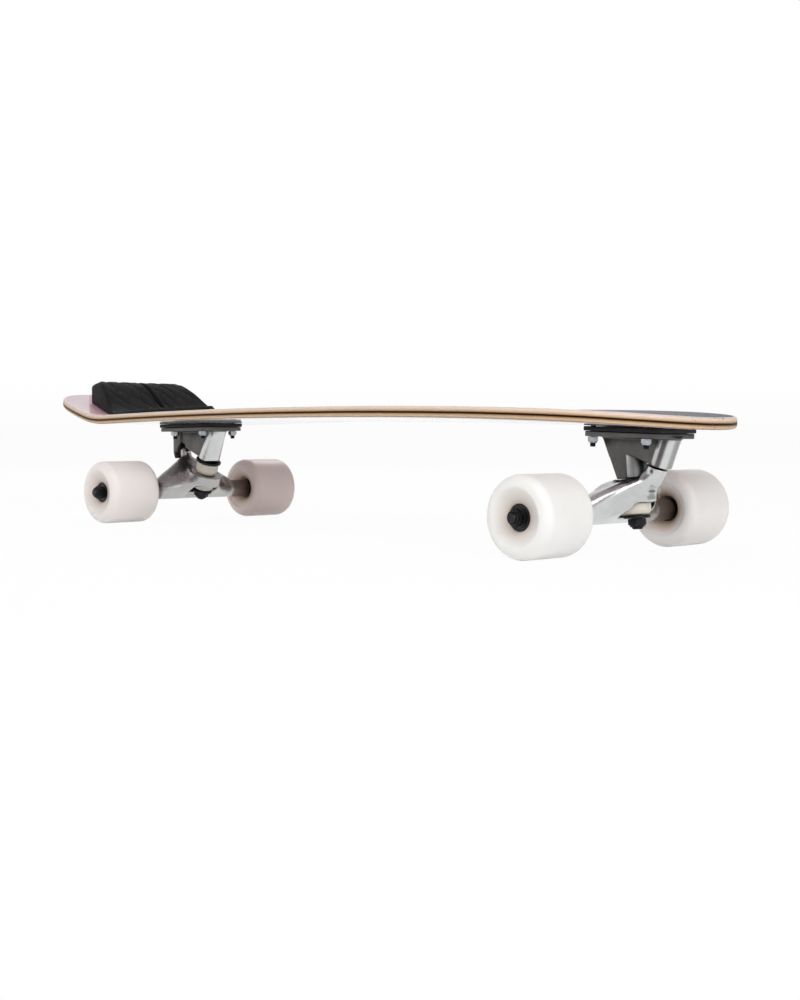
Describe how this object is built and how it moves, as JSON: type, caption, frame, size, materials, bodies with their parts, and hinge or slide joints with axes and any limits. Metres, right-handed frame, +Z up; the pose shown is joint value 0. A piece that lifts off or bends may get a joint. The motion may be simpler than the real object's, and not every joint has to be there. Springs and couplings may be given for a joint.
{
  "type": "surf skateboard",
  "caption": "Cambered wooden deck with upturned tail and foam tail pad, on sprung steering trucks with soft urethane wheels.",
  "frame": {"origin": "on the ground, under the middle of the deck", "axes": "+X to the nose, +Y to the rider's left facing the nose, +Z up"},
  "size_m": [0.918, 0.2664, 0.1605],
  "materials": {
    "maple": "clear lacquered maple plies",
    "pad_foam": "matt closed-cell foam",
    "riser_rubber": "matt rubber",
    "satin_casting": "satin ground casting",
    "polished_casting": "polished casting",
    "cup_plastic": "moulded plastic",
    "bushing_urethane": "cream urethane",
    "black_steel": "black oxide",
    "zinc_steel": "zinc plated",
    "plain_steel": "plain steel",
    "bearing_steel": "dark shields in steel rings",
    "wheel_urethane": "white cast urethane"
  },
  "bodies": {
    "board": {"deck": "maple", "tail_pad_left": "pad_foam", "tail_pad_right": "pad_foam", "front_riser": "riser_rubber", "front_baseplate": "satin_casting", "front_pivot_cup": "cup_plastic", "front_kingpin": "black_steel", "front_kingpin_nut": "black_steel", "front_upper_bushing": "bushing_urethane", "front_lower_bushing": "bushing_urethane", "front_upper_washer": "black_steel", "front_lower_washer": "black_steel", "front_deck_bolt_1": "zinc_steel", "front_deck_bolt_2": "zinc_steel", "front_deck_bolt_3": "zinc_steel", "front_deck_bolt_4": "zinc_steel", "rear_riser": "riser_rubber", "rear_baseplate": "satin_casting", "rear_pivot_cup": "cup_plastic", "rear_kingpin": "black_steel", "rear_kingpin_nut": "black_steel", "rear_upper_bushing": "bushing_urethane", "rear_lower_bushing": "bushing_urethane", "rear_upper_washer": "black_steel", "rear_lower_washer": "black_steel", "rear_deck_bolt_1": "zinc_steel", "rear_deck_bolt_2": "zinc_steel", "rear_deck_bolt_3": "zinc_steel", "rear_deck_bolt_4": "zinc_steel"},
    "front_truck": {"front_hanger": "polished_casting", "front_axle": "plain_steel", "front_left_bearing_spacer": "plain_steel", "front_left_axle_washer": "plain_steel", "front_left_axle_nut": "black_steel", "front_right_bearing_spacer": "plain_steel", "front_right_axle_washer": "plain_steel", "front_right_axle_nut": "black_steel"},
    "rear_truck": {"rear_hanger": "polished_casting", "rear_axle": "plain_steel", "rear_left_bearing_spacer": "plain_steel", "rear_left_axle_washer": "plain_steel", "rear_left_axle_nut": "black_steel", "rear_right_bearing_spacer": "plain_steel", "rear_right_axle_washer": "plain_steel", "rear_right_axle_nut": "black_steel"},
    "front_left_wheel": {"front_left_wheel": "wheel_urethane", "front_left_outer_bearing": "bearing_steel", "front_left_inner_bearing": "bearing_steel"},
    "front_right_wheel": {"front_right_wheel": "wheel_urethane", "front_right_outer_bearing": "bearing_steel", "front_right_inner_bearing": "bearing_steel"},
    "rear_left_wheel": {"rear_left_wheel": "wheel_urethane", "rear_left_outer_bearing": "bearing_steel", "rear_left_inner_bearing": "bearing_steel"},
    "rear_right_wheel": {"rear_right_wheel": "wheel_urethane", "rear_right_outer_bearing": "bearing_steel", "rear_right_inner_bearing": "bearing_steel"}
  },
  "joints": [
    {"name": "front_steer", "type": "hinge", "parent": "board", "child": "front_truck", "pos_m": [0.38182, 0, 0.04703], "axis": [0.5987, 0, 0.801], "range_deg": [-20, 20], "stiffness_Nm_per_rad": 28, "deforming": ["front_upper_bushing", "front_lower_bushing"]},
    {"name": "rear_steer", "type": "hinge", "parent": "board", "child": "rear_truck", "pos_m": [-0.22073, 0, 0.04864], "axis": [-0.7858, 0, 0.6185], "range_deg": [-20, 20], "stiffness_Nm_per_rad": 40, "deforming": ["rear_upper_bushing", "rear_lower_bushing"]},
    {"name": "front_left_spin", "type": "hinge", "parent": "front_truck", "child": "front_left_wheel", "pos_m": [0.3603, 0.09775, 0.034], "axis": [0, 1, 0], "continuous": true},
    {"name": "front_right_spin", "type": "hinge", "parent": "front_truck", "child": "front_right_wheel", "pos_m": [0.3603, -0.09775, 0.034], "axis": [0, 1, 0], "continuous": true},
    {"name": "rear_left_spin", "type": "hinge", "parent": "rear_truck", "child": "rear_left_wheel", "pos_m": [-0.2423, 0.09775, 0.034], "axis": [0, 1, 0], "continuous": true},
    {"name": "rear_right_spin", "type": "hinge", "parent": "rear_truck", "child": "rear_right_wheel", "pos_m": [-0.2423, -0.09775, 0.034], "axis": [0, 1, 0], "continuous": true}
  ]
}
